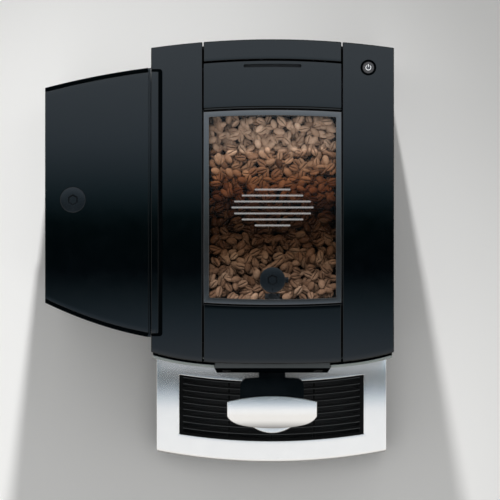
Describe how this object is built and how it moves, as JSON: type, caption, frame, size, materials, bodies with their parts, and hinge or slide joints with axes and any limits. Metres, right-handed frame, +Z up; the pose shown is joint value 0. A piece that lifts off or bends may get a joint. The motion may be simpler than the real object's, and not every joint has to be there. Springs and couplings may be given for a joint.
{
  "type": "bean to cup coffee machine",
  "caption": "Countertop bean to cup coffee machine with a side water tank, bean hopper under a window, height-adjustable spout and pull-out drip tray.",
  "frame": {"origin": "on the worktop, under the middle of the machine's bounding box", "axes": "+Z up, -Y towards the user who faces the spout, +X to that user's right, so the water tank is on the -X side"},
  "size_m": [0.3734, 0.464, 0.47],
  "materials": {
    "slate_gloss": "satin to gloss moulded top, slate black",
    "slate_matte": "fine matte moulding, black",
    "black_gloss": "high gloss black",
    "silver": "fine brushed silver metal",
    "grey_frame": "satin dark grey",
    "smoked_window": "clear slightly smoked plastic",
    "clear_tank": "clear moulded plastic",
    "foot_rubber": "plain rubber",
    "sheet_steel": "plain folded sheet",
    "pin_steel": "turned and ground",
    "cast_alloy": "as cast",
    "white_plastic": "natural moulded",
    "board_green": "solder mask",
    "roasted_bean": "dry roasted, slightly oily"
  },
  "bodies": {
    "machine": {"base_plate": "slate_matte", "foot_front_left": "foot_rubber", "foot_front_right": "foot_rubber", "foot_back_left": "foot_rubber", "foot_back_right": "foot_rubber", "chassis": "sheet_steel", "side_panel_left": "slate_gloss", "side_panel_right": "slate_gloss", "rear_cover": "slate_matte", "front_panel": "slate_gloss", "front_trim": "silver", "top_strip_left": "slate_gloss", "top_strip_right": "slate_gloss", "top_rear_piece": "slate_gloss", "top_front_piece": "slate_gloss", "hinge_bar": "black_gloss", "top_hinge_pin": "pin_steel", "powder_funnel": "slate_matte", "lid_seal": "foot_rubber", "bean_hopper": "smoked_window", "bean_load": "roasted_bean", "grinder_housing": "cast_alloy", "grinder_motor": "sheet_steel", "brew_housing": "white_plastic", "brew_motor": "sheet_steel", "thermoblock": "cast_alloy", "pump": "sheet_steel", "control_board": "board_green", "mains_inlet": "slate_matte", "display_housing": "black_gloss", "display_screen": "black_gloss", "power_ring": "black_gloss", "spout_guide": "sheet_steel", "tank_dock": "slate_gloss"},
    "tray": {"tray_frame": "silver", "tray_basin": "slate_matte", "tray_grille": "black_gloss", "grounds_container": "slate_matte"},
    "spout": {"spout_carriage": "slate_matte", "spout_cover": "silver", "spout_lip": "silver", "spout_nozzles": "black_gloss"},
    "bean_lid": {"bean_lid_frame": "grey_frame", "bean_window": "smoked_window"},
    "bean_lock": {"bean_lock": "slate_matte"},
    "powder_flap": {"powder_flap": "slate_gloss"},
    "power_button": {"power_button": "sheet_steel"},
    "button_left_1": {"button_left_1": "silver"},
    "button_left_2": {"button_left_2": "silver"},
    "button_right_1": {"button_right_1": "silver"},
    "button_right_2": {"button_right_2": "silver"},
    "tank": {"tank_shell": "clear_tank", "tank_hinge_strip": "slate_gloss"},
    "tank_lid": {"tank_lid": "slate_gloss"},
    "tank_lock": {"tank_lock": "slate_matte"},
    "tank_valve": {"tank_valve": "white_plastic"},
    "lower_burr": {"lower_burr": "pin_steel"},
    "upper_burr": {"upper_burr": "cast_alloy"},
    "brew_screw": {"brew_screw": "pin_steel"},
    "brew_piston": {"brew_piston": "white_plastic"}
  },
  "joints": [
    {"name": "tray_slide", "type": "slide", "parent": "machine", "child": "tray", "axis": [0, -1, 0], "range_m": [0, 0.275]},
    {"name": "spout_slide", "type": "slide", "parent": "machine", "child": "spout", "axis": [0, 0, -1], "range_m": [0, 0.07]},
    {"name": "bean_lid_hinge", "type": "hinge", "parent": "machine", "child": "bean_lid", "pos_m": [0.0567, 0.1595, 0.4688], "axis": [-1, 0, 0], "range_deg": [0, 75]},
    {"name": "bean_lock_turn", "type": "hinge", "parent": "bean_lid", "child": "bean_lock", "pos_m": [0.0567, -0.0257, 0.4672], "axis": [0, 0, -1], "range_deg": [0, 90]},
    {"name": "powder_flap_hinge", "type": "hinge", "parent": "machine", "child": "powder_flap", "pos_m": [0.0567, 0.1595, 0.4688], "axis": [1, 0, 0], "range_deg": [0, 75]},
    {"name": "power_button_push", "type": "slide", "parent": "machine", "child": "power_button", "axis": [0, 0, -1], "range_m": [0, 0.0015], "stiffness_N_per_m": 600},
    {"name": "button_left_1_push", "type": "slide", "parent": "machine", "child": "button_left_1", "axis": [0, 0.9979, -0.0645], "range_m": [0, 0.0008], "stiffness_N_per_m": 600},
    {"name": "button_left_2_push", "type": "slide", "parent": "machine", "child": "button_left_2", "axis": [0, 0.9979, -0.0645], "range_m": [0, 0.0008], "stiffness_N_per_m": 600},
    {"name": "button_right_1_push", "type": "slide", "parent": "machine", "child": "button_right_1", "axis": [0, 0.9979, -0.0645], "range_m": [0, 0.0008], "stiffness_N_per_m": 600},
    {"name": "button_right_2_push", "type": "slide", "parent": "machine", "child": "button_right_2", "axis": [0, 0.9979, -0.0645], "range_m": [0, 0.0008], "stiffness_N_per_m": 600},
    {"name": "tank_lift", "type": "slide", "parent": "machine", "child": "tank", "axis": [0, 0, 1], "range_m": [0, 0.275]},
    {"name": "tank_lid_hinge", "type": "hinge", "parent": "tank", "child": "tank_lid", "pos_m": [-0.0748, 0.05875, 0.4691], "axis": [0, 1, 0], "range_deg": [0, 95]},
    {"name": "tank_lock_turn", "type": "hinge", "parent": "tank_lid", "child": "tank_lock", "pos_m": [-0.157, 0.0601, 0.4679], "axis": [0, 0, 1], "range_deg": [0, 90]},
    {"name": "tank_valve_lift", "type": "slide", "parent": "tank", "child": "tank_valve", "axis": [0, 0, 1], "range_m": [0, 0.003], "stiffness_N_per_m": 200},
    {"name": "burr_spin", "type": "hinge", "parent": "machine", "child": "lower_burr", "pos_m": [0.0567, 0.02, 0.2616], "axis": [0, 0, 1], "continuous": true},
    {"name": "grind_setting", "type": "hinge", "parent": "machine", "child": "upper_burr", "pos_m": [0.0567, 0.02, 0.3295], "axis": [0, 0, 1], "range_deg": [-30, 30]},
    {"name": "brew_screw_turn", "type": "hinge", "parent": "machine", "child": "brew_screw", "pos_m": [0.0827, 0.088, 0.1136], "axis": [0, 0, 1], "range_deg": [0, 1440]},
    {"name": "brew_piston_slide", "type": "slide", "parent": "machine", "child": "brew_piston", "axis": [0, 0, -1], "range_m": [0, 0.034]}
  ],
  "couplings": [
    {"joint": "brew_piston_slide", "follows": "brew_screw_turn", "m_per_rad": 0.001273}
  ]
}
